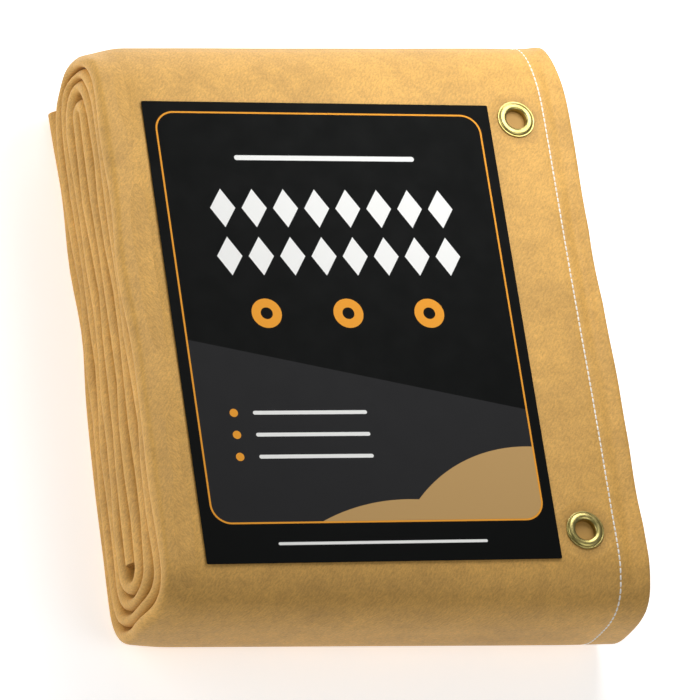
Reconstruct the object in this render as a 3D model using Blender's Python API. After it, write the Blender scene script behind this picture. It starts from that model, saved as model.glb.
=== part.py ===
"""Folded canvas tarp, metres, +Z up.

The pad lies on its back: +Z is the front with the label, +X the hemmed side with the eyelets,
+Y the top fold. The origin is the centre of the resting face. The cloth is first folded
lengthwise into a strip of doubled canvas, and the strip is then folded over and over, top and
bottom in turn, so each pass wraps the one before.
"""

import math

import bmesh
import bpy
import numpy as np

# Driving dimensions
WIDTH = 0.305
HEIGHT = 0.386
DEPTH = 0.092

DOUBLED_CANVAS = 0.0020
LAYER_GAP = 0.0004
LAYERS_IN_PASS = 4

HEM_WIDTH = 0.054
HEM_THICKNESS = 0.0030

EYELET_FROM_EDGE = 0.0365
EYELET_HEIGHTS = {"upper": 0.128, "lower": -0.143}
EYELET_BORE_RADIUS = 0.0065
EYELET_WALL = 0.0006
EYELET_FLANGE_RADIUS = 0.0120
EYELET_CROWN = 0.0015
EYELET_BACK_RADIUS = 0.0096
EYELET_BACK = 0.0007
EYELET_SIDES = 32

LABEL_WIDTH = 0.224
LABEL_HEIGHT = 0.298
LABEL_THICKNESS = 0.0005
LABEL_CENTRE = (-0.0140, -0.0120)

# Space kept between neighbouring pieces
PIECE_GAP = 0.0003

# Worked-out sizes
EYELET_BARREL_RADIUS = EYELET_BORE_RADIUS + EYELET_WALL
LAYER_PITCH = DOUBLED_CANVAS + LAYER_GAP
PASS_THICKNESS = LAYERS_IN_PASS * DOUBLED_CANVAS + (LAYERS_IN_PASS - 1) * LAYER_GAP
PASS_COUNT = 9
PASS_PITCH = (DEPTH - PASS_THICKNESS) / (PASS_COUNT - 1)
HEM_INNER_X = WIDTH / 2 - HEM_WIDTH
OUTER_APEX = (HEIGHT - PASS_THICKNESS) / 2

# The passes of the strip in the order it runs, from the loose end at the back to the middle of
# the pad: how many passes lie under each, and how far its two sides stand in from the full width.
PASSES = [
    {"name": "back", "passes_below": 0, "left_inset": 0.0014, "right_inset": 0.0010},
    {"name": "front", "passes_below": 8, "left_inset": 0.0000, "right_inset": 0.0000},
    {"name": "back_2", "passes_below": 1, "left_inset": 0.0008, "right_inset": 0.0016},
    {"name": "front_2", "passes_below": 7, "left_inset": 0.0018, "right_inset": 0.0012},
    {"name": "back_3", "passes_below": 2, "left_inset": 0.0006, "right_inset": 0.0022},
    {"name": "front_3", "passes_below": 6, "left_inset": 0.0022, "right_inset": 0.0014},
    {"name": "back_4", "passes_below": 3, "left_inset": 0.0012, "right_inset": 0.0026},
    {"name": "front_4", "passes_below": 5, "left_inset": 0.0026, "right_inset": 0.0018},
    {"name": "middle", "passes_below": 4, "left_inset": 0.0016, "right_inset": 0.0024},
]

# The folds between those passes: which end they are at, how far their crown stands in from the
# outermost one, how far they reach past the straight passes, how square the bend is (2 is an
# ellipse) and how many flats round it.
FOLDS = [
    {"end": "bottom", "crown_inset": 0.0000, "reach": 0.0360, "squareness": 2.5, "flats": 14},
    {"end": "top", "crown_inset": 0.0000, "reach": 0.0520, "squareness": 2.0, "flats": 14},
    {"end": "bottom", "crown_inset": 0.0104, "reach": 0.0270, "squareness": 2.4, "flats": 10},
    {"end": "top", "crown_inset": 0.0106, "reach": 0.0400, "squareness": 2.0, "flats": 10},
    {"end": "bottom", "crown_inset": 0.0208, "reach": 0.0190, "squareness": 2.2, "flats": 8},
    {"end": "top", "crown_inset": 0.0214, "reach": 0.0270, "squareness": 2.04, "flats": 8},
    {"end": "bottom", "crown_inset": 0.0312, "reach": 0.0104, "squareness": 2.0, "flats": 8},
    {"end": "top", "crown_inset": 0.0358, "reach": 0.0052, "squareness": 2.0, "flats": 6},
]
LOOSE_END_Y = 0.166
INNER_END_Y = -0.149

# The hem piece covers the front pass and this many flats of the folds before and after it
HEM_FLATS_ON_FOLDS = 4


def signed_power(value, exponent):
    """The power of a number's size, with the number's sign."""
    return math.copysign(abs(value) ** exponent, value)


def pass_height(row):
    """Height of a pass's middle above the resting face."""
    return PASS_THICKNESS / 2 + row["passes_below"] * PASS_PITCH


def fold_point(fold, z_from, z_to, angle):
    """Point (y, z) of a fold: a half superellipse, angle 0 at its start and pi at its end."""
    side = 1 if fold["end"] == "top" else -1
    crown = OUTER_APEX - fold["crown_inset"]
    power = 2 / fold["squareness"]
    y = side * (crown - fold["reach"] + fold["reach"] * abs(math.sin(angle)) ** power)
    z = (z_from + z_to) / 2 + (z_from - z_to) / 2 * signed_power(math.cos(angle), power)
    return np.array([y, z])


def outward(direction):
    """The strip's outer side: its direction of travel turned a quarter left, in (y, z)."""
    unit = direction / np.linalg.norm(direction)
    return np.array([-unit[1], unit[0]])


def strip_stations():
    """Places along the strip: centre and outward side in (y, z), side insets, and hem or not."""
    stations = []
    small = 1e-4
    first, last = PASSES[0], PASSES[-1]

    def add(point, normal, row_a, row_b, share, hem=False):
        left = row_a["left_inset"] * (1 - share) + row_b["left_inset"] * share
        right = row_a["right_inset"] * (1 - share) + row_b["right_inset"] * share
        stations.append(
            {"point": point, "out": normal, "left": left, "right": right, "hem": hem}
        )

    add(np.array([LOOSE_END_Y, pass_height(first)]), np.array([0.0, -1.0]), first, first, 0)
    for index, fold in enumerate(FOLDS):
        before, after = PASSES[index], PASSES[index + 1]
        z_from, z_to = pass_height(before), pass_height(after)
        for step in range(fold["flats"] + 1):
            share = step / fold["flats"]
            angle = math.pi * share
            low = max(angle - small, 0.0)
            high = min(angle + small, math.pi)
            travel = fold_point(fold, z_from, z_to, high) - fold_point(fold, z_from, z_to, low)
            steps_to_front = fold["flats"] - step if after["name"] == "front" else step
            beside_front = "front" in (before["name"], after["name"])
            hem = beside_front and steps_to_front <= HEM_FLATS_ON_FOLDS
            add(fold_point(fold, z_from, z_to, angle), outward(travel), before, after, share, hem)
    add(np.array([INNER_END_Y, pass_height(last)]), np.array([0.0, -1.0]), last, last, 0)
    return stations


def turn(centre_x, centre_n, radius, start_deg, end_deg, flats):
    """Part of a circle in the section: rows of x, n and the unit normal there."""
    angles = np.radians(np.linspace(start_deg, end_deg, flats + 1))
    cosines, sines = np.cos(angles), np.sin(angles)
    facing = 1 if end_deg > start_deg else -1
    return [
        (centre_x + radius * c, centre_n + radius * s, facing * c, facing * s)
        for c, s in zip(cosines, sines, strict=True)
    ]


def layer_path(left, right, free_right):
    """Middle line of the doubled canvas across one pass, from its outer free edge to its inner
    one: out to the left fold, back, round the right fold, and nested once more."""
    outer = 1.5 * LAYER_PITCH
    inner = 0.5 * LAYER_PITCH
    fold_x = left + PASS_THICKNESS / 2
    right_fold_x = right - inner - DOUBLED_CANVAS / 2
    path = [(free_right, outer, 0.0, 1.0)]
    path += turn(fold_x, 0.0, outer, 90, 270, 6)
    path += turn(right_fold_x, -LAYER_PITCH, inner, -90, 90, 4)
    path += turn(fold_x, 0.0, inner, 270, 90, 4)
    path += [(free_right, inner, 0.0, -1.0)]
    return path


def thicken(path):
    """The two faces of a sheet of doubled canvas along a section path."""
    half = DOUBLED_CANVAS / 2
    one = [(x + half * nx, n + half * nn) for x, n, nx, nn in path]
    other = [(x - half * nx, n - half * nn) for x, n, nx, nn in path]
    return one, other


def new_object(name, mesh, material):
    """A named object with its own mesh and material, linked to the scene."""
    mesh.materials.append(material)
    piece = bpy.data.objects.new(name, mesh)
    bpy.context.collection.objects.link(piece)
    return piece


def new_material(name, colour, roughness, metallic):
    """A Principled material."""
    material = bpy.data.materials.new(name)
    material.use_nodes = True
    surface = material.node_tree.nodes["Principled BSDF"]
    surface.inputs["Base Color"].default_value = (*colour, 1.0)
    surface.inputs["Roughness"].default_value = roughness
    surface.inputs["Metallic"].default_value = metallic
    return material


def finished_mesh(name, shape, smooth_deg=None):
    """A mesh from a bmesh with its faces pointing out, smooth below an angle if one is given."""
    bmesh.ops.recalc_face_normals(shape, faces=shape.faces)
    mesh = bpy.data.meshes.new(name)
    shape.to_mesh(mesh)
    shape.free()
    if smooth_deg is not None:
        mesh.shade_smooth()
        mesh.set_sharp_from_angle(angle=math.radians(smooth_deg))
    return mesh


def loft(rings, cap_pairs=None):
    """A closed bmesh through equal closed rings of points. cap_pairs lists the ring indices of
    the quads that close each end; without it each end is one flat face."""
    shape = bmesh.new()
    rows = [[shape.verts.new(point) for point in ring] for ring in rings]
    count = len(rows[0])
    for row, following in zip(rows, rows[1:], strict=False):
        for i in range(count):
            j = (i + 1) % count
            shape.faces.new((row[i], row[j], following[j], following[i]))
    for row in (rows[0], rows[-1]):
        if cap_pairs is None:
            shape.faces.new(row)
            continue
        for corners in cap_pairs:
            shape.faces.new([row[i] for i in corners])
    return shape


def place(section, station):
    """Section points (x, n) set at a station of the strip, in x, y, z."""
    y, z = station["point"]
    out_y, out_z = station["out"]
    return [(x, y + n * out_y, z + n * out_z) for x, n in section]


def blended(one, other, share):
    """A station part of the way from one to another, with the first one's side edges."""
    between = dict(one)
    for key in ("point", "out"):
        between[key] = one[key] * (1 - share) + other[key] * share
    return between


def stepped(stations):
    """The stations, with one more a hair outside each end of the hem piece, where the free
    edges of the canvas step in to make room for it."""
    result = [stations[0]]
    for before, after in zip(stations, stations[1:], strict=False):
        if before["hem"] != after["hem"]:
            plain, hemmed = (before, after) if after["hem"] else (after, before)
            distance = np.linalg.norm(hemmed["point"] - plain["point"])
            result.append(blended(plain, hemmed, 1 - PIECE_GAP / distance))
        result.append(after)
    return result


def canvas():
    """The whole cloth: four layers of doubled canvas carried along the folded strip. The two
    outer layers stop short of the hem piece where that lies."""
    rings = []
    for station in stepped(strip_stations()):
        left = -WIDTH / 2 + station["left"]
        right = WIDTH / 2 - station["right"]
        free_right = HEM_INNER_X - PIECE_GAP if station["hem"] else right
        one, other = thicken(layer_path(left, right, free_right))
        rings.append(place(one + other[::-1], station))
    count = len(rings[0])
    cap_pairs = [(i, i + 1, count - 2 - i, count - 1 - i) for i in range(count // 2 - 1)]
    shape = loft(rings, cap_pairs)
    material = new_material("tan_canvas", (0.52, 0.33, 0.13), 0.85, 0.0)
    new_object("canvas", finished_mesh("canvas", shape, 40), material)


def eyelet_centres():
    """Name and (x, y) of each eyelet."""
    x = WIDTH / 2 - EYELET_FROM_EDGE
    return [(name, x, y) for name, y in EYELET_HEIGHTS.items()]


def hem():
    """The hemmed edge on the front pass: three plies sewn flat, open at the two eyelets."""
    stations = [station for station in strip_stations() if station["hem"]]
    outer = PASS_THICKNESS / 2
    inner = outer - HEM_THICKNESS
    right = WIDTH / 2
    section = [(HEM_INNER_X, outer), (right, outer), (right, inner), (HEM_INNER_X, inner)]
    shape = loft([place(section, station) for station in stations])
    material = new_material("tan_hem", (0.54, 0.35, 0.14), 0.85, 0.0)
    strip = new_object("hem_strip", finished_mesh("hem_strip", shape, 40), material)
    for name, x, y in eyelet_centres():
        cutter_shape = bmesh.new()
        bmesh.ops.create_cone(
            cutter_shape,
            cap_ends=True,
            segments=EYELET_SIDES,
            radius1=EYELET_BARREL_RADIUS + PIECE_GAP,
            radius2=EYELET_BARREL_RADIUS + PIECE_GAP,
            depth=4 * HEM_THICKNESS,
        )
        cutter = new_object(
            f"cut_{name}", finished_mesh(f"cut_{name}", cutter_shape), material
        )
        cutter.location = (x, y, DEPTH - HEM_THICKNESS / 2)
        cutter.hide_render = True
        cutter.display_type = "WIRE"
        cut = strip.modifiers.new(f"eyelet_{name}", "BOOLEAN")
        cut.operation = "DIFFERENCE"
        cut.solver = "EXACT"
        cut.object = cutter


def eyelet_profile():
    """Outline (radius, z) of a brass eyelet: a rolled flange on the front, a barrel through the
    hem and the edge turned over behind it."""
    front = DEPTH + PIECE_GAP
    back = DEPTH - HEM_THICKNESS - PIECE_GAP
    roll = (EYELET_FLANGE_RADIUS - EYELET_BARREL_RADIUS) / 2
    middle = EYELET_BARREL_RADIUS + roll
    rolled = [
        (middle + roll * math.cos(angle), front + EYELET_CROWN * math.sin(angle))
        for angle in np.radians(np.arange(0, 181, 30))
    ]
    return [
        (EYELET_BARREL_RADIUS, back),
        (EYELET_BARREL_RADIUS, front),
        *rolled[:-1],
        (EYELET_BORE_RADIUS, front + EYELET_CROWN / 4),
        (EYELET_BORE_RADIUS, back - EYELET_BACK),
        (EYELET_BACK_RADIUS, back - EYELET_BACK),
        (EYELET_BACK_RADIUS, back),
    ]


def eyelets():
    """Two brass eyelets, each the profile turned about its bore."""
    material = new_material("brass", (0.62, 0.47, 0.16), 0.25, 1.0)
    angles = [2 * math.pi * i / EYELET_SIDES for i in range(EYELET_SIDES)]
    for name, x, y in eyelet_centres():
        shape = bmesh.new()
        rows = [
            [shape.verts.new((x + r * math.cos(a), y + r * math.sin(a), z)) for a in angles]
            for r, z in eyelet_profile()
        ]
        for row, following in zip(rows, rows[1:] + rows[:1], strict=True):
            for i in range(EYELET_SIDES):
                j = (i + 1) % EYELET_SIDES
                shape.faces.new((row[i], row[j], following[j], following[i]))
        new_object(f"eyelet_{name}", finished_mesh(f"eyelet_{name}", shape, 35), material)


def label():
    """The front label: one flat rectangular card."""
    shape = bmesh.new()
    bmesh.ops.create_cube(shape, size=1.0)
    bmesh.ops.scale(shape, vec=(LABEL_WIDTH, LABEL_HEIGHT, LABEL_THICKNESS), verts=shape.verts)
    height = DEPTH + PIECE_GAP + LABEL_THICKNESS / 2
    bmesh.ops.translate(shape, vec=(*LABEL_CENTRE, height), verts=shape.verts)
    material = new_material("label_card", (0.015, 0.015, 0.016), 0.5, 0.0)
    new_object("front_label", finished_mesh("front_label", shape), material)


for old in list(bpy.data.objects):
    bpy.data.objects.remove(old)
canvas()
hem()
eyelets()
label()
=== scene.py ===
"""Looks of the folded canvas tarp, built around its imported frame. Metres, +Z out of the front,
+X towards the hemmed side, +Y towards the top fold."""

import math

import bpy
import numpy as np
from mathutils import Matrix, Vector


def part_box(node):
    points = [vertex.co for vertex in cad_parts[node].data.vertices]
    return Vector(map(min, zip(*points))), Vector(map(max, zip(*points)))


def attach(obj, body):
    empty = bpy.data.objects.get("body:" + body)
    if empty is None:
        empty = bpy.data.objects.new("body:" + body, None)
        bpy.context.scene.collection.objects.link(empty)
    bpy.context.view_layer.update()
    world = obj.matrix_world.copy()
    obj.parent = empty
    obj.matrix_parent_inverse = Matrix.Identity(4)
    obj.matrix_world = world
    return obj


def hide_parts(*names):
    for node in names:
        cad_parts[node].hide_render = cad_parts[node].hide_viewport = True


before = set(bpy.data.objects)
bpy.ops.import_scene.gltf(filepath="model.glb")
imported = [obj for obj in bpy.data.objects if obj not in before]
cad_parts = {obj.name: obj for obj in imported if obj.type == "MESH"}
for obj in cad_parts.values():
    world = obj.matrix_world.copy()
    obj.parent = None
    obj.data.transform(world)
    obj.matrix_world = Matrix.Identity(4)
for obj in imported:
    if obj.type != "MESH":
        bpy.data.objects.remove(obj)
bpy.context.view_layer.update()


# ---- Cloth ----
# The tarp is one sheet of waxed cotton canvas with a hem sewn along its edges. It is folded in
# half lengthwise three times, into a strip of eight plies, and that strip is folded over and
# over, top and bottom in turn, so each pass wraps the one before.

(LEFT, BOTTOM, _), (RIGHT, TOP, FRONT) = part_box("canvas")
CLOTH_THICKNESS = 0.0009
PACKED_THICKNESS = 0.00084
HEM_THICKNESS = 0.0021
HEM_INNER_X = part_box("hem_strip")[0][0]
SIDE_FOLD_RADIUS = 0.0049
STITCH_X = 0.1352
STITCH_GROOVE = 0.00045

# Where each ply lies in the strip, counted from its outer face, in the order the sheet runs
PLACE_OF_PLY = (0, 7, 4, 3, 2, 5, 6, 1)
PLY_STEP = (SIDE_FOLD_RADIUS - CLOTH_THICKNESS / 2) / 3.5
PASS_STEP = (FRONT - 2 * SIDE_FOLD_RADIUS) / 8

# The passes of the strip, from its loose end at the back to the middle of the pad: passes that
# lie under it, how far its sides stand in, and the number of steps along it.
PASSES = [
    {"below": 0, "left_in": 0.0014, "right_in": 0.0006, "steps": 24},
    {"below": 8, "left_in": 0.0000, "right_in": 0.0000, "steps": 54},
    {"below": 1, "left_in": 0.0002, "right_in": 0.0022, "steps": 10},
    {"below": 7, "left_in": 0.0016, "right_in": 0.0010, "steps": 10},
    {"below": 2, "left_in": 0.0008, "right_in": 0.0030, "steps": 10},
    {"below": 6, "left_in": 0.0024, "right_in": 0.0016, "steps": 10},
    {"below": 3, "left_in": 0.0003, "right_in": 0.0034, "steps": 10},
    {"below": 5, "left_in": 0.0018, "right_in": 0.0018, "steps": 10},
    {"below": 4, "left_in": 0.0012, "right_in": 0.0028, "steps": 10},
]

# The folds between them: end (-1 bottom, 1 top), how far the crown stands in from the outermost,
# reach beyond the straight passes, squareness (2 is an ellipse), and steps round the bend.
FOLDS = [
    {"end": -1, "crown_in": 0.0000, "reach": 0.0370, "square": 2.9, "steps": 30},
    {"end": 1, "crown_in": 0.0000, "reach": 0.0560, "square": 2.12, "steps": 30},
    {"end": -1, "crown_in": 0.0103, "reach": 0.0280, "square": 2.6, "steps": 14},
    {"end": 1, "crown_in": 0.0107, "reach": 0.0420, "square": 2.0, "steps": 14},
    {"end": -1, "crown_in": 0.0206, "reach": 0.0195, "square": 2.3, "steps": 12},
    {"end": 1, "crown_in": 0.0215, "reach": 0.0270, "square": 2.0, "steps": 12},
    {"end": -1, "crown_in": 0.0309, "reach": 0.0104, "square": 2.0, "steps": 10},
    {"end": 1, "crown_in": 0.0360, "reach": 0.0052, "square": 2.0, "steps": 10},
]
LOOSE_END_Y = 0.1735
INNER_END_Y = -0.143


def ramp(low, high, value):
    """0 below low, 1 above high, and an S curve 3s^2 - 2s^3 between them."""
    share = np.clip((value - low) / (high - low), 0.0, 1.0)
    return share * share * (3 - 2 * share)


def hump(value, centre, width):
    """A rounded hump of height 1 at the centre: e to the power of minus the squared distance
    counted in widths."""
    return np.exp(-(((value - centre) / width) ** 2))


def fold_curve(fold, z_from, z_to):
    """Half a superellipse in (y, z): y reaches out as sin(a) to the power 2/square, and z runs
    from one pass to the next as cos(a) to the same power."""
    angle = np.linspace(0, math.pi, fold["steps"] + 1)
    power = 2 / fold["square"]
    crown = TOP - SIDE_FOLD_RADIUS - fold["crown_in"]
    y = fold["end"] * (crown - fold["reach"] * (1 - np.abs(np.sin(angle)) ** power))
    swing = np.sign(np.cos(angle)) * np.abs(np.cos(angle)) ** power
    z = (z_from + z_to) / 2 + (z_from - z_to) / 2 * swing
    return np.stack([y, z], axis=1)


def strip_line():
    """The strip's middle line as arrays: points (y, z), outward unit vectors, length along it,
    and the pass number, which runs evenly from one whole number to the next round a fold."""
    heights = [SIDE_FOLD_RADIUS + row["below"] * PASS_STEP for row in PASSES]
    bends = [fold_curve(fold, heights[i], heights[i + 1]) for i, fold in enumerate(FOLDS)]
    points, numbers = [], []
    for i, row in enumerate(PASSES):
        start = bends[i - 1][-1, 0] if i else LOOSE_END_Y
        stop = bends[i][0, 0] if i < len(bends) else INNER_END_Y
        y = np.linspace(start, stop, row["steps"] + 1)[1 if i else 0 :]
        points.append(np.stack([y, np.full(y.size, heights[i])], axis=1))
        numbers.append(np.full(y.size, float(i)))
        if i < len(bends):
            points.append(bends[i][1:])
            numbers.append(i + np.linspace(0, 1, len(bends[i]))[1:])
    points = np.concatenate(points)
    steps = np.linalg.norm(np.diff(points, axis=0), axis=1)
    along = np.concatenate([[0.0], np.cumsum(steps)])
    travel = np.gradient(points, along, axis=0)
    travel /= np.linalg.norm(travel, axis=1, keepdims=True)
    outward = np.stack([-travel[:, 1], travel[:, 0]], axis=1)
    return points, outward, along, np.concatenate(numbers)


def sheet_section():
    """The sheet's middle line across the strip, ply after ply: its share of the way from the
    left edge to the right one, an offset from that place in x, its place in the stack (0 is the
    outermost ply, 7 the innermost), and how full the sheet is there (1, and down to 0 along a
    quarter circle at the two free edges)."""
    hem_half = HEM_THICKNESS / 2
    width = RIGHT - LEFT
    inset = np.concatenate(
        [
            np.arange(0.0022, 0.0135, 0.0018),
            RIGHT - STITCH_X + np.array([-0.0024, -0.0011, -0.0005, 0, 0.0005, 0.0011, 0.0024]),
            np.linspace(0.0215, width - 0.036, 36),
            np.linspace(width - 0.033, width - SIDE_FOLD_RADIUS, 12),
        ]
    )
    outer_share = 1 - (inset - hem_half) / (width - hem_half - SIDE_FOLD_RADIUS)
    share, offset, place, full = [], [], [], []

    def add(shares, offsets, places, fullness=1.0):
        for rows, values in zip(
            (share, offset, place, full), (shares, offsets, places, fullness), strict=True
        ):
            rows.append(np.broadcast_to(values, np.shape(shares)).astype(float))

    round_end = np.radians([84, 58, 30])
    right_reach = {0: -hem_half, 1: -0.0024, 3: -0.0042, 5: -0.0024, 7: -0.0028 - hem_half}
    for ply, stack in enumerate(PLACE_OF_PLY):
        if ply == 0:
            add(np.ones(3), right_reach[0] + hem_half * np.sin(round_end), stack, np.cos(round_end))
        reach = right_reach[ply if ply % 2 or ply == 0 else ply - 1]
        shares = outer_share if ply == 0 else np.array([0.0, 0.28, 0.66, 1.0])
        if ply % 2 == 0 and ply:
            shares = shares[::-1]
        add(shares, SIDE_FOLD_RADIUS * (1 - shares) + reach * shares, stack)
        if ply == 7:
            last = round_end[::-1]
            add(np.ones(3), reach + hem_half * np.sin(last), stack, np.cos(last))
            break
        following = PLACE_OF_PLY[ply + 1]
        jump = abs(following - stack)
        angle = np.linspace(0, math.pi, 5 + jump)[1:-1]
        at_left = ply % 2 == 0
        centre = SIDE_FOLD_RADIUS if at_left else right_reach[ply]
        side = -1 if at_left else 1
        add(
            np.full(angle.size, 0.0 if at_left else 1.0),
            centre + side * jump / 2 * PLY_STEP * np.sin(angle),
            (stack + following) / 2 + (stack - following) / 2 * np.cos(angle),
        )
    return tuple(np.concatenate(rows) for rows in (share, offset, place, full))


def sheet_depth(x, place, full):
    """Depth of the sheet's middle line from the strip's, and half its thickness. Evenly spaced
    plies on the left change to two thick hems over six packed plies towards the right edge."""
    hem_half = HEM_THICKNESS / 2
    even = (3.5 - np.arange(8)) * PLY_STEP
    first = SIDE_FOLD_RADIUS - hem_half
    second = first - HEM_THICKNESS - 0.0001
    third = second - hem_half - PACKED_THICKNESS / 2 - 0.0001
    hemmed = [first, second] + [third - i * (PACKED_THICKNESS + 0.00008) for i in range(6)]
    in_hem = ramp(HEM_INNER_X - 0.012, HEM_INNER_X + 0.006, x)
    stack = np.arange(8)
    depth = np.interp(place, stack, even) * (1 - in_hem) + np.interp(place, stack, hemmed) * in_hem
    hem_ply = np.clip(1.5 - place, 0, 1)
    thick = PACKED_THICKNESS + (HEM_THICKNESS - PACKED_THICKNESS) * hem_ply
    half = (CLOTH_THICKNESS * (1 - in_hem) + thick * in_hem) / 2 * full
    groove = STITCH_GROOVE * hump(x, STITCH_X, 0.0012) * np.clip(1 - place, 0, 1)
    return depth - groove / 2, half - groove / 2


def settle(points):
    """The soft unevenness that everything sewn into the pad shares: shifts worked out smoothly
    from where a point lies. The folded side is pulled a little shorter and its corners in, the
    lower passes drift out, and troughs run inside the front's left, lower and right edges."""
    x, y, z = points[..., 0], points[..., 1], points[..., 2]
    up = ramp(0.45 * FRONT, FRONT, z)
    leftward = np.clip((0.12 - x) / (0.12 - LEFT), 0, 1)
    corner = ramp(LEFT + 0.034, LEFT - 0.004, x) ** 1.5
    new_y = y - 0.0046 * leftward * (ramp(0.15, 0.19, y) - ramp(-0.15, -0.19, y))
    new_y -= 0.0062 * corner * ramp(0.166, 0.190, y) - 0.0022 * corner * ramp(-0.165, -0.190, y)
    new_y += 0.0016 * ramp(0.130, RIGHT, x) * ramp(0.13, 0.16, y) * hump(z, 0.072, 0.016)
    drift = 0.0022 + 0.0048 * ramp(0.03, -0.15, y)
    new_x = x - drift * (RIGHT - x) / (RIGHT - LEFT) * (1 - ramp(0.45, 0.97, z / FRONT))
    bulge = 0.0019 * ramp(0.06, -0.05, y) + 0.0012 * ramp(-0.12, -0.17, y)
    new_x += ramp(0.128, RIGHT, x) * bulge
    lean = 0.0006 * np.sin(y * 26 + z * 37) + 0.0005 * np.sin(y * 61 - z * 190 + 1.0)
    new_x += lean * ramp(0.5 * LEFT, LEFT, x)
    uneven = 1 + 0.35 * np.sin(y * 38 + 0.7) + 0.25 * np.sin(y * 91 + 2.1)
    rise = -0.0013 * uneven * hump(x, LEFT + 0.016, 0.0075)
    rise += 0.0005 * hump(x, LEFT + 0.004, 0.005)
    low_edge = BOTTOM + 0.019 + 0.0015 * np.sin(x * 17)
    rise -= 0.0009 * hump(y, low_edge, 0.008) * ramp(LEFT, LEFT + 0.02, x)
    rise -= 0.0014 * uneven * hump(x, RIGHT - 0.0090, 0.0045)
    rise += 0.0006 * hump(x, RIGHT - 0.0028, 0.003)
    wave = np.sin(x * 31 + 1.3) * np.sin(y * 23 + 0.4) + 0.6 * np.sin(x * 67 - y * 41 + 2.0)
    under_label = ramp(0.125, 0.112, np.abs(x + 0.014)) * ramp(0.165, 0.150, np.abs(y + 0.012))
    rise += 0.00028 * wave * (1 - 0.8 * under_label) - 0.00008 * under_label
    return np.stack([new_x, new_y, z + up * rise], axis=-1)


def grid_faces(rows, columns):
    """Quads of a grid of points, row by row, its columns joined in a ring."""
    ring = np.arange(rows * columns).reshape(rows, columns)
    ring = np.concatenate([ring, ring[:, :1]], axis=1)
    quads = [ring[:-1, :-1], ring[:-1, 1:], ring[1:, 1:], ring[1:, :-1]]
    return np.stack(quads, axis=-1).reshape(-1, 4)


def new_piece(name, points, faces, material, uv=None, sharp_deg=60):
    """A smooth-shaded object from arrays of points and faces, and a UV map in metres if given."""
    mesh = bpy.data.meshes.new(name)
    mesh.from_pydata(points.reshape(-1, 3).tolist(), [], [list(face) for face in faces])
    mesh.update()
    if uv is not None:
        corner = np.empty(len(mesh.loops), dtype=np.int32)
        mesh.loops.foreach_get("vertex_index", corner)
        layer = mesh.uv_layers.new(name="UVMap")
        layer.data.foreach_set("uv", uv.reshape(-1, 2)[corner].ravel().astype(np.float32))
    mesh.shade_smooth()
    mesh.set_sharp_from_angle(angle=math.radians(sharp_deg))
    mesh.materials.append(material)
    piece = bpy.data.objects.new(name, mesh)
    bpy.context.collection.objects.link(piece)
    return piece


def new_material(name, colour, roughness, **sockets):
    """A Principled material and its node tree; other sockets are set by name, with _ for a
    space."""
    material = bpy.data.materials.new(name)
    material.use_nodes = True
    shader = material.node_tree.nodes["Principled BSDF"]
    shader.inputs["Base Color"].default_value = (*colour, 1.0)
    shader.inputs["Roughness"].default_value = roughness
    for key, value in sockets.items():
        shader.inputs[key.replace("_", " ")].default_value = value
    return material, material.node_tree


def add_node(tree, kind, inputs=None, output=0, **settings):
    """Adds a shader node, sets its inputs to values or links them from sockets, and gives one
    of its outputs."""
    node = tree.nodes.new(kind)
    for key, value in settings.items():
        setattr(node, key, value)
    for key, value in (inputs or {}).items():
        if isinstance(value, bpy.types.NodeSocket):
            tree.links.new(value, node.inputs[key])
        else:
            node.inputs[key].default_value = value
    return node.outputs[output]


def noise(tree, vector, scale, detail=3.0):
    """A noise pattern, from 0 to 1, of a number of features per metre."""
    return add_node(
        tree, "ShaderNodeTexNoise", {"Vector": vector, "Scale": scale, "Detail": detail}, "Fac"
    )


def spread(tree, value, low, high, to_low, to_high):
    """A value stretched from one range to another."""
    ends = {"From Min": low, "From Max": high, "To Min": to_low, "To Max": to_high}
    return add_node(tree, "ShaderNodeMapRange", {"Value": value, **ends}, "Result")


def calculate(tree, operation, first, second):
    """One step of arithmetic on two sockets or numbers."""
    return add_node(tree, "ShaderNodeMath", {0: first, 1: second}, operation=operation)


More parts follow.
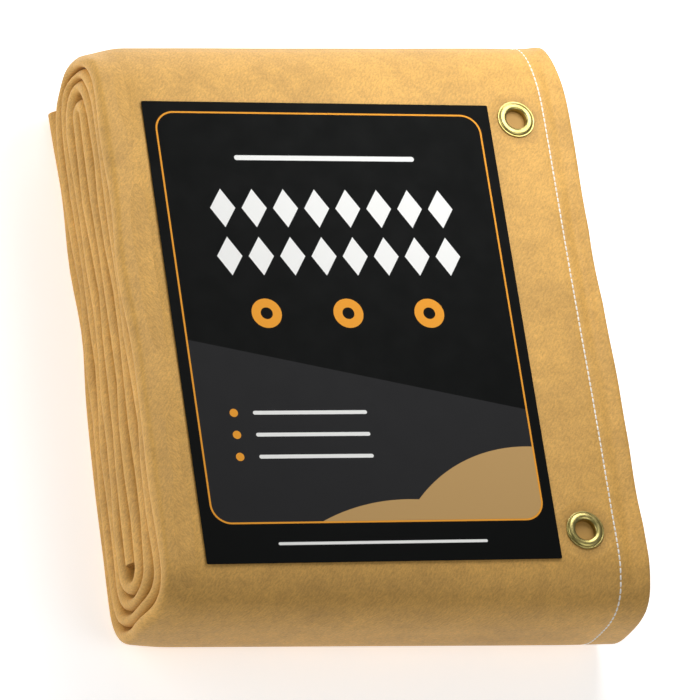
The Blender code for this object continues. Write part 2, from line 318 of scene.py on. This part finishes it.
def canvas_finish():
    """Waxed canvas: a tan ground, clouds of darker wax, a fine nap with short slanting flecks,
    soft creases, the cloth drawn down round its eyelets, and painted shade darkening it there."""
    material, tree = new_material(
        "waxed_canvas",
        (0.6, 0.35, 0.11),
        0.58,
        Sheen_Weight=0.05,
        Sheen_Roughness=0.4,
        Specular_IOR_Level=0.36,
    )
    shader = tree.nodes["Principled BSDF"]
    cloth = add_node(tree, "ShaderNodeUVMap", uv_map="UVMap")
    fleck_turn = math.radians(125)
    slanted = add_node(
        tree,
        "ShaderNodeMapping",
        {"Vector": cloth, "Rotation": (0, 0, fleck_turn), "Scale": (0.0026, 0.0012, 1)},
        vector_type="TEXTURE",
    )
    flecks = noise(tree, slanted, 1.0, 2.0)
    nap = noise(tree, cloth, 1100.0, 3.0)
    clouds = noise(tree, cloth, 20.0, 5.0)
    patches = noise(tree, cloth, 110.0, 3.0)
    creases = noise(tree, cloth, 46.0, 2.0)
    fine = calculate(
        tree, "ADD", calculate(tree, "MULTIPLY", flecks, 0.6), calculate(tree, "MULTIPLY", nap, 0.4)
    )
    shade = calculate(
        tree,
        "MULTIPLY",
        spread(tree, fine, 0.34, 0.64, 0.80, 1.14),
        calculate(
            tree,
            "MULTIPLY",
            spread(tree, clouds, 0.33, 0.67, 0.90, 1.08),
            spread(tree, patches, 0.33, 0.67, 0.93, 1.06),
        ),
    )
    place = add_node(tree, "ShaderNodeTexCoord", output="Object")
    near = None
    for name in ("eyelet_upper", "eyelet_lower"):
        low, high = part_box(name)
        centre = [(a + b) / 2 for a, b in zip(low, high, strict=True)]
        far = add_node(
            tree, "ShaderNodeVectorMath", {0: place, 1: centre}, "Value", operation="DISTANCE"
        )
        near = far if near is None else calculate(tree, "MINIMUM", near, far)
    # Painted shade: the canvas colour is darkened by up to a fifth close round each eyelet,
    # standing in for the shadow there. The same ramp also sinks the cloth there as a bump.
    eyelet_dip_and_shade = spread(tree, near, 0.0118, 0.0185, 0.0, 1.0)
    shade = calculate(tree, "MULTIPLY", shade, spread(tree, eyelet_dip_and_shade, 0.0, 1.0, 0.80, 1.0))
    colour = add_node(
        tree,
        "ShaderNodeMix",
        {"Factor": shade, 6: (0.0, 0.0, 0.0, 1.0), 7: (0.630, 0.352, 0.084, 1.0)},
        2,
        data_type="RGBA",
        clamp_factor=False,
    )
    tree.links.new(colour, shader.inputs["Base Color"])
    soft = add_node(
        tree, "ShaderNodeBump", {"Height": creases, "Strength": 0.5, "Distance": 0.0014}
    )
    round_eyelets = add_node(
        tree,
        "ShaderNodeBump",
        {"Height": eyelet_dip_and_shade, "Strength": 0.6, "Distance": 0.0012, "Normal": soft},
    )
    threads = add_node(
        tree,
        "ShaderNodeBump",
        {"Height": fine, "Strength": 0.5, "Distance": 0.0006, "Normal": round_eyelets},
    )
    tree.links.new(threads, shader.inputs["Normal"])
    return material


line_points, line_outward, line_along, line_pass = strip_line()
share, offset, place, full = sheet_section()

tug = 0.0004 * np.sin(line_along * 47) + 0.0003 * np.sin(line_along * 83 + 2)
rows_in = np.arange(len(PASSES))
left_in = np.interp(line_pass, rows_in, [row["left_in"] for row in PASSES])
right_in = np.interp(line_pass, rows_in, [row["right_in"] for row in PASSES])
left_edge = LEFT + left_in + tug
right_edge = RIGHT - right_in - np.abs(tug)

nominal_x = LEFT * (1 - share) + RIGHT * share + offset
depth, half = sheet_depth(nominal_x, place, full)
run = np.stack([np.gradient(nominal_x), np.gradient(depth)], axis=1)
run /= np.linalg.norm(run, axis=1, keepdims=True)
normal_x, normal_depth = run[:, 1], -run[:, 0]
across = np.concatenate([[0.0], np.cumsum(np.hypot(np.diff(nominal_x), np.diff(depth)))])


def both_faces(outer, inner):
    """One closed ring of values: along the sheet's one face and back along the other."""
    return np.concatenate([outer, inner[::-1]])


ring_share = both_faces(share, share)
ring_offset = both_faces(offset + half * normal_x, offset - half * normal_x)
ring_depth = both_faces(depth + half * normal_depth, depth - half * normal_depth)
ring_across = both_faces(across, across)
squeeze = 1 - 0.05 * np.abs(np.sin(math.pi * line_pass))
cloth_x = left_edge[:, None] * (1 - ring_share) + right_edge[:, None] * ring_share + ring_offset
cloth_y = line_points[:, :1] + squeeze[:, None] * ring_depth * line_outward[:, :1]
cloth_z = line_points[:, 1:] + squeeze[:, None] * ring_depth * line_outward[:, 1:]
cloth_points = settle(np.stack([cloth_x, cloth_y, cloth_z], axis=-1))
rows, columns = cloth_points.shape[:2]
first = np.arange(columns // 2 - 1)
end_cap = np.stack([first, columns - 1 - first, columns - 2 - first, first + 1], axis=1)
cloth_faces = np.concatenate(
    [grid_faces(rows, columns), end_cap, end_cap[:, ::-1] + (rows - 1) * columns]
)
# The section runs clockwise round the cloth, so its faces are turned over to point outwards
cloth_faces = cloth_faces[:, ::-1]
cloth_uv = np.stack(np.broadcast_arrays(ring_across, line_along[:, None]), axis=-1)
tarp_cloth = new_piece("tarp_cloth", cloth_points, cloth_faces, canvas_finish(), cloth_uv)


HOLE_RADIUS = 0.0072
HOLE_DEPTH = 0.0026
HOLE_SIDES = 40


def punch(piece, centre, radius, depth_below):
    """Cuts a round hole down from above the front to a depth, with a Boolean that is applied.
    Plies that press on each other cross a little, which the fast solver copes with and the exact
    one doesn't."""
    angle = np.linspace(0, 2 * math.pi, HOLE_SIDES + 1)[:-1]
    circle = np.stack([centre[0] + radius * np.cos(angle), centre[1] + radius * np.sin(angle)], 1)
    levels = [FRONT - depth_below, FRONT + 0.004]
    points = np.concatenate([np.column_stack([circle, np.full(HOLE_SIDES, z)]) for z in levels])
    floor_ring = list(range(HOLE_SIDES))[::-1]
    top_ring = list(range(HOLE_SIDES, 2 * HOLE_SIDES))
    faces = [*grid_faces(2, HOLE_SIDES).tolist(), floor_ring, top_ring]
    cutter = new_piece("punch", points, faces, piece.data.materials[0])
    cut = piece.modifiers.new("punch", "BOOLEAN")
    cut.operation = "DIFFERENCE"
    cut.solver = "FAST"
    cut.object = cutter
    shape = piece.evaluated_get(bpy.context.evaluated_depsgraph_get())
    mesh = bpy.data.meshes.new_from_object(shape)
    piece.modifiers.clear()
    piece.data = mesh
    bpy.data.objects.remove(cutter)


eyelet_boxes = {name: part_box(name) for name in ("eyelet_upper", "eyelet_lower")}
for low, high in eyelet_boxes.values():
    hole_centre = [(low[0] + high[0]) / 2, (low[1] + high[1]) / 2]
    punch(tarp_cloth, hole_centre, HOLE_RADIUS, HOLE_DEPTH)
tarp_cloth.data.name = "tarp_cloth"

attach(tarp_cloth, "root")
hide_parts("canvas", "hem_strip")


# ---- Hem stitching ----
# One line of thick white polyester thread is lockstitched along the hem by machine. Each stitch
# lies in the groove that it pulls in the canvas and dips into the cloth at both ends.

STITCH_PITCH = 0.0036
STITCH_LENGTH = 0.0036
THREAD_HALF_WIDTH = 0.00050
THREAD_HALF_HEIGHT = 0.00036
THREAD_SINK = 0.00008
STITCH_RINGS = 7
THREAD_SIDES = 6
on_outside = (line_pass > -1) & (line_pass < 1.75)
stitch_start = line_along[on_outside][0] + 0.004
stitch_end = line_along[on_outside][-1]
stitch_count = int((stitch_end - stitch_start) / STITCH_PITCH)

# Rings of six points along each stitch, nearly even and rounded off close to its ends
reach = np.linspace(-1, 1, STITCH_RINGS) * 0.99
turn = np.radians(np.arange(0, 360, 360 // THREAD_SIDES))
middle = stitch_start + STITCH_PITCH * np.arange(stitch_count)
station = middle[:, None, None] + STITCH_LENGTH / 2 * reach[None, :, None]
thinning = (1 - np.abs(reach) ** 5) ** 0.5
side = THREAD_HALF_WIDTH * thinning[None, :, None] * np.cos(turn)
dip = 0.00022 * np.abs(reach[None, :, None]) ** 2
height = SIDE_FOLD_RADIUS - STITCH_GROOVE + THREAD_SINK - dip
height = height + THREAD_HALF_HEIGHT * thinning[None, :, None] * np.sin(turn)
line_y, line_z = (np.interp(station, line_along, line_points[:, k]) for k in (0, 1))
out_y, out_z = (np.interp(station, line_along, line_outward[:, k]) for k in (0, 1))
tight = np.interp(station, line_along, squeeze)
stitch_points = settle(
    np.stack(
        [
            STITCH_X + side + 0 * station,
            line_y + out_y * height * tight,
            line_z + out_z * height * tight,
        ],
        axis=-1,
    )
)
STITCH_POINTS = STITCH_RINGS * THREAD_SIDES
near_end = list(range(THREAD_SIDES))
far_end = list(range(STITCH_POINTS - THREAD_SIDES, STITCH_POINTS))[::-1]
one_stitch = grid_faces(STITCH_RINGS, THREAD_SIDES)[:, ::-1].tolist() + [near_end, far_end]
stitch_faces = [
    [corner + STITCH_POINTS * number for corner in face]
    for number in range(stitch_count)
    for face in one_stitch
]


def thread_finish():
    """White polyester thread: slightly warm, with its twist as a fine bump."""
    material, tree = new_material("white_thread", (0.86, 0.83, 0.76), 0.5)
    place = add_node(tree, "ShaderNodeTexCoord", output="Object")
    twist = noise(tree, place, 1900.0, 2.0)
    bump = add_node(tree, "ShaderNodeBump", {"Height": twist, "Strength": 0.4, "Distance": 0.0002})
    tree.links.new(bump, tree.nodes["Principled BSDF"].inputs["Normal"])
    return material


hem_stitches = new_piece("hem_stitches", stitch_points, stitch_faces, thread_finish())
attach(hem_stitches, "root")


# ---- Eyelets ----
# Two brass eyelets pressed through the hem: a thin lip lies on the canvas, the flange rises in a
# dome and rolls over into the barrel, whose far end is turned outwards behind the hem.


def brass_finish():
    """Bright drawn brass with small dull marks and a patchy darker tone."""
    material, tree = new_material("pressed_brass", (0.86, 0.72, 0.30), 0.2, Metallic=1.0)
    shader = tree.nodes["Principled BSDF"]
    place = add_node(tree, "ShaderNodeTexCoord", output="Object")
    marks = noise(tree, place, 420.0, 4.0)
    tree.links.new(spread(tree, marks, 0.35, 0.7, 0.28, 0.42), shader.inputs["Roughness"])
    tint = add_node(
        tree,
        "ShaderNodeMix",
        {
            "Factor": spread(tree, noise(tree, place, 160.0, 3.0), 0.4, 0.68, 0.0, 1.0),
            6: (0.50, 0.42, 0.16, 1.0),
            7: (0.38, 0.32, 0.10, 1.0),
        },
        2,
        data_type="RGBA",
    )
    tree.links.new(tint, shader.inputs["Base Color"])
    bump = add_node(tree, "ShaderNodeBump", {"Height": marks, "Strength": 0.15, "Distance": 0.0002})
    tree.links.new(bump, shader.inputs["Normal"])
    return material


def arc(centre_r, centre_z, radius_r, radius_z, start_deg, end_deg, steps):
    """Part of an ellipse in (radius, height)."""
    angle = np.radians(np.linspace(start_deg, end_deg, steps + 1))
    return np.stack([centre_r + radius_r * np.cos(angle), centre_z + radius_z * np.sin(angle)], 1)


def eyelet_outline(flange, bore, back, front_z, back_z, crown_z):
    """Closed outline (radius, height) of a pressed eyelet of thin sheet: lip, dome, barrel, and
    the turned-over edge."""
    sheet = 0.0006
    crown = crown_z - front_z
    dome_half = (flange - 0.0010 - bore) / 2
    return np.concatenate(
        [
            arc(flange - 0.0003, front_z + 0.0002, 0.0003, 0.0003, -60, 90, 5),
            arc(bore + dome_half, front_z + 0.00035, dome_half, crown - 0.00035, 0, 180, 22),
            [(bore, front_z - 0.001), (bore, (front_z + back_z) / 2)],
            arc(bore + 0.0008, back_z + 0.0008, 0.0008, 0.0008, 180, 270, 5),
            arc(back - 0.0004, back_z + 0.0003, 0.0004, 0.0003, -90, 90, 4),
            [(bore + sheet, back_z + 0.0006), (bore + sheet, front_z + 0.00002)],
        ]
    )


EYELET_SEGMENTS = 72
eyelet_brass = brass_finish()
round_angle = np.arange(EYELET_SEGMENTS) * 2 * math.pi / EYELET_SEGMENTS
for name, (low, high) in eyelet_boxes.items():
    centre_x, centre_y = (low[0] + high[0]) / 2, (low[1] + high[1]) / 2
    flange_radius = (high[0] - low[0]) / 2
    outline = eyelet_outline(flange_radius, 0.0066, 0.0096, high[2] - 0.0015, low[2], high[2])
    radius, level = outline[:, 0], outline[:, 1]
    points = np.stack(
        [
            centre_x + radius[:, None] * np.cos(round_angle),
            centre_y + radius[:, None] * np.sin(round_angle),
            level[:, None] + 0 * round_angle,
        ],
        axis=-1,
    )
    faces = grid_faces(len(outline) + 1, EYELET_SEGMENTS) % (len(outline) * EYELET_SEGMENTS)
    brass = new_piece(f"brass_{name}", points, faces, eyelet_brass, sharp_deg=50)
    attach(brass, "root")
    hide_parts(name)


# ---- Front label ----
# A letter-size card of black coated board laid on the front. It is printed in flat inks: an
# orange keyline, two rows of white lozenges, orange rings, and dots with pale rules and two tan
# rounds over a dark grey foot.

label_low, label_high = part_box("front_label")
LABEL_CORNER = 0.0008
LABEL_BEVEL = 0.00012
LABEL_CORNER_POINTS = 5
INK_EDGE = 0.00012
RULE_ROWS = (-0.054, -0.068, -0.082)
RING_COLUMNS = (-0.052, 0.0, 0.052)
BOARD_BLACK = (0.003, 0.0034, 0.0032)


def rounded_outline(half_width, half_height, radius, steps):
    """A rectangle with quarter-circle corners, as points (x, y) round its centre."""
    corners = [(1, 1, 0), (-1, 1, 90), (-1, -1, 180), (1, -1, 270)]
    parts = []
    for side_x, side_y, start in corners:
        angle = np.radians(np.linspace(start, start + 90, steps))
        x = side_x * (half_width - radius) + radius * np.cos(angle)
        y = side_y * (half_height - radius) + radius * np.sin(angle)
        parts.append(np.stack([x, y], axis=1))
    return np.concatenate(parts)


def label_finish():
    """Satin printed board. Every shape is a distance worked out on the card's own UV map, in
    metres from its centre, and turned into ink where the distance is below zero."""
    material, tree = new_material(
        "printed_board", BOARD_BLACK, 0.6, Specular_IOR_Level=0.04
    )
    shader = tree.nodes["Principled BSDF"]
    card = add_node(tree, "ShaderNodeUVMap", uv_map="UVMap")

    def vector(operation, first, second=(0, 0, 0), output="Vector"):
        inputs = {0: first, 1: second}
        return add_node(tree, "ShaderNodeVectorMath", inputs, output, operation=operation)

    def shape(x, y, half_width, half_height, radius):
        """Ink inside a rounded box, which is a disc where both halves equal the radius."""
        from_centre = vector("ABSOLUTE", vector("SUBTRACT", card, (x, y, 0)))
        core = (half_width - radius, half_height - radius, 0)
        outside = vector("MAXIMUM", vector("SUBTRACT", from_centre, core))
        far = vector("LENGTH", outside, output="Value")
        return spread(tree, far, radius + INK_EDGE, radius - INK_EDGE, 0.0, 1.0)

    def below(slope_x, slope_y, level):
        """Ink where slope_x * x + slope_y * y is less than a level."""
        height = vector("DOT_PRODUCT", card, (slope_x, slope_y, 0), output="Value")
        return spread(tree, height, level + INK_EDGE, level - INK_EDGE, 0.0, 1.0)

    def both(first, second):
        return calculate(tree, "MULTIPLY", first, second)

    def either(*inks):
        total = inks[0]
        for ink in inks[1:]:
            total = calculate(tree, "MAXIMUM", total, ink)
        return total

    def lozenges(cell_x, cell_y, fullness):
        """Ink where the distances from a cell's centre, in cells, add up to little enough."""
        cell = vector("FRACTION", vector("DIVIDE", card, (cell_x, cell_y, 1)))
        from_middle = vector("ABSOLUTE", vector("SUBTRACT", cell, (0.5, 0.5, 0)))
        total = vector("DOT_PRODUCT", from_middle, (1, 1, 0), output="Value")
        return spread(tree, total, fullness + 0.006, fullness - 0.006, 0.0, 1.0)

    inner = shape(0, 0.009, 0.1042, 0.1323, 0.0115)
    keyline = calculate(tree, "SUBTRACT", shape(0, 0.009, 0.1053, 0.1334, 0.0126), inner)
    foot = both(inner, below(0.22, 1, -0.030))
    near_hill = shape(0.10, -0.175, 0.098, 0.098, 0.098)
    far_hill = shape(0.02, -0.235, 0.125, 0.125, 0.125)
    hills = both(inner, either(near_hill, far_hill))
    weave = both(shape(0, 0.066, 0.080, 0.0315, 0.001), lozenges(0.020, 0.0315, 0.40))
    rules = [shape(-0.034, y, 0.036, 0.0012, 0.0012) for y in RULE_ROWS]
    thin = either(
        shape(0, 0.112, 0.058, 0.0016, 0.0016), shape(0, -0.137, 0.066, 0.0009, 0.0009), *rules
    )
    dots = [shape(-0.082, y, 0.0026, 0.0026, 0.0026) for y in RULE_ROWS]
    rings = [
        both(
            shape(x, 0.010, 0.0095, 0.0095, 0.0095),
            calculate(tree, "SUBTRACT", 1.0, shape(x, 0.010, 0.0038, 0.0038, 0.0038)),
        )
        for x in RING_COLUMNS
    ]
    inks = [
        (foot, (0.021, 0.021, 0.022)),
        (hills, (0.48, 0.30, 0.12)),
        (either(keyline, *dots, *rings), (0.80, 0.33, 0.035)),
        (either(weave, thin), (0.82, 0.82, 0.80)),
    ]
    colour = (*BOARD_BLACK, 1.0)
    for ink, tint in inks:
        inputs = {"Factor": ink, 6: colour, 7: (*tint, 1.0)}
        colour = add_node(tree, "ShaderNodeMix", inputs, 2, data_type="RGBA")
    tree.links.new(colour, shader.inputs["Base Color"])
    board = noise(tree, card, 900.0, 3.0)
    bump = add_node(tree, "ShaderNodeBump", {"Height": board, "Strength": 0.08, "Distance": 0.0001})
    tree.links.new(bump, shader.inputs["Normal"])
    gloss = spread(tree, noise(tree, card, 60.0), 0.3, 0.7, 0.46, 0.56)
    tree.links.new(gloss, shader.inputs["Roughness"])
    return material


half_width = (label_high[0] - label_low[0]) / 2
half_height = (label_high[1] - label_low[1]) / 2
wide = rounded_outline(half_width, half_height, LABEL_CORNER, LABEL_CORNER_POINTS)
narrow = rounded_outline(
    half_width - LABEL_BEVEL, half_height - LABEL_BEVEL, LABEL_CORNER, LABEL_CORNER_POINTS
)
levels = [
    (narrow, label_low[2]),
    (wide, label_low[2] + LABEL_BEVEL),
    (wide, label_high[2] - LABEL_BEVEL),
    (narrow, label_high[2]),
]
label_uv = np.stack([outline for outline, _ in levels])
around = len(wide)
label_points = np.stack([np.column_stack([edge, np.full(around, z)]) for edge, z in levels])
label_points[..., 0] += (label_low[0] + label_high[0]) / 2
label_points[..., 1] += (label_low[1] + label_high[1]) / 2
label_back = list(range(around))[::-1]
label_front = list(range((len(levels) - 1) * around, len(levels) * around))
label_faces = [*grid_faces(len(levels), around).tolist(), label_back, label_front]
label_card = new_piece(
    "label_card", label_points, label_faces, label_finish(), label_uv, sharp_deg=30
)
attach(label_card, "root")
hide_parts("front_label")


# ---- Floor, light and camera ----
# A plain pale floor, faintly glowing, under soft studio light: a near softbox above the upper
# hemmed corner, weaker ones beyond the top fold, on the folded side and beyond the bottom fold,
# and an even sky.

FLOOR_HALF = 6.0
floor_corners = FLOOR_HALF * np.array([[-1, -1, 0], [1, -1, 0], [1, 1, 0], [-1, 1, 0]])
floor_corners[:, 2] = -0.0005
floor_material, _ = new_material(
    "pale_floor", (0.93, 0.93, 0.93), 0.9, Emission_Color=(1, 1, 1, 1), Emission_Strength=0.52
)
floor = new_piece("floor", floor_corners, [[0, 1, 2, 3]], floor_material)


def soft_light(name, place, target, size, power):
    """A square area light that faces a point."""
    lamp = bpy.data.lights.new(name, "AREA")
    lamp.size = size
    lamp.energy = power
    light = bpy.data.objects.new(name, lamp)
    light.location = place
    light.rotation_euler = (Vector(target) - Vector(place)).to_track_quat("-Z", "Y").to_euler()
    bpy.context.collection.objects.link(light)


soft_light("key", (0.16, 0.27, 0.46), (0.03, 0.03, 0.09), 0.34, 1.95)
soft_light("top", (0.15, 1.20, 0.42), (0.0, 0.15, 0.06), 0.7, 5.5)
soft_light("side", (-1.2, 0.15, 0.38), (-0.15, 0.0, 0.05), 0.9, 7.0)
soft_light("lower", (0.45, -0.7, 1.2), (0.08, -0.16, 0.09), 0.7, 3.5)

world = bpy.data.worlds.new("studio")
world.use_nodes = True
world.node_tree.nodes["Background"].inputs["Color"].default_value = (1.0, 1.0, 1.0, 1.0)
world.node_tree.nodes["Background"].inputs["Strength"].default_value = 0.17
bpy.context.scene.world = world
bpy.context.scene.view_settings.view_transform = "Standard"

CAMERA_TURN = math.radians(44.09)
CAMERA_RISE = math.radians(59.23)
CAMERA_ROLL = math.radians(39.63)
CAMERA_DISTANCE = 3.573
sin_turn, cos_turn = math.sin(CAMERA_TURN), math.cos(CAMERA_TURN)
sin_rise, cos_rise = math.sin(CAMERA_RISE), math.cos(CAMERA_RISE)
backward = Vector((-sin_turn * cos_rise, -cos_turn * cos_rise, sin_rise))
level = Vector((cos_turn, -sin_turn, 0.0))
upright = backward.cross(level)
rightward = math.cos(CAMERA_ROLL) * level + math.sin(CAMERA_ROLL) * upright
upward = -math.sin(CAMERA_ROLL) * level + math.cos(CAMERA_ROLL) * upright
camera_place = 0.0184 * rightward + 0.0127 * upward + CAMERA_DISTANCE * backward
lens = bpy.data.cameras.new("camera")
lens.lens = 300
lens.sensor_width = 36
lens.clip_end = 50
camera = bpy.data.objects.new("camera", lens)
turning = Matrix((rightward, upward, backward)).transposed().to_4x4()
camera.matrix_world = Matrix.Translation(camera_place) @ turning
bpy.context.collection.objects.link(camera)
bpy.context.scene.camera = camera
